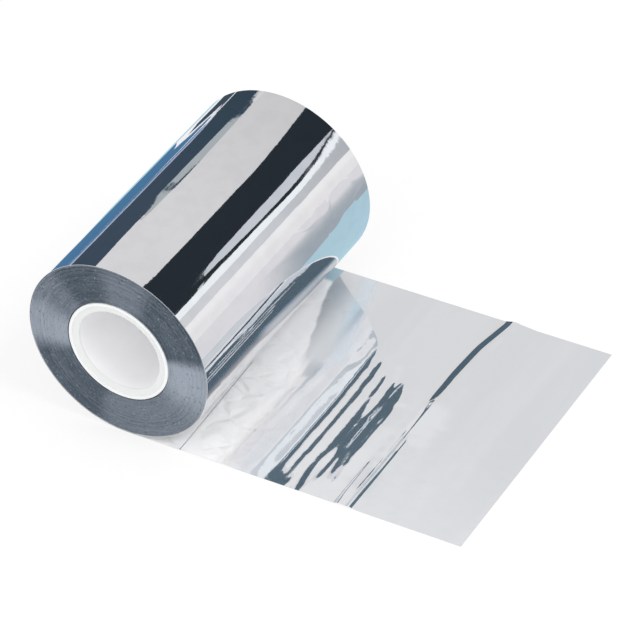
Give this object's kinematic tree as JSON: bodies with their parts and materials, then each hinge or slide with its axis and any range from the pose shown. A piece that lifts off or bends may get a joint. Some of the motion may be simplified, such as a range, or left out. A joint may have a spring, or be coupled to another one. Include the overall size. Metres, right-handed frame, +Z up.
{
  "type": "roll of aluminium foil tape",
  "caption": "Wide bright foil tape wound on a white plastic core, lying on its side with the end of the strip pulled out flat.",
  "frame": {"origin": "on the axis of the core, half way along it", "axes": "+X along the loose end, +Y along the axis of the core, +Z up from the surface that the roll lies on"},
  "size_m": [0.1511, 0.1, 0.0648],
  "materials": {
    "core_plastic": "satin moulded",
    "foil": "mirror bright"
  },
  "bodies": {
    "root": {"core": "core_plastic", "tape": "foil"}
  },
  "joints": []
}
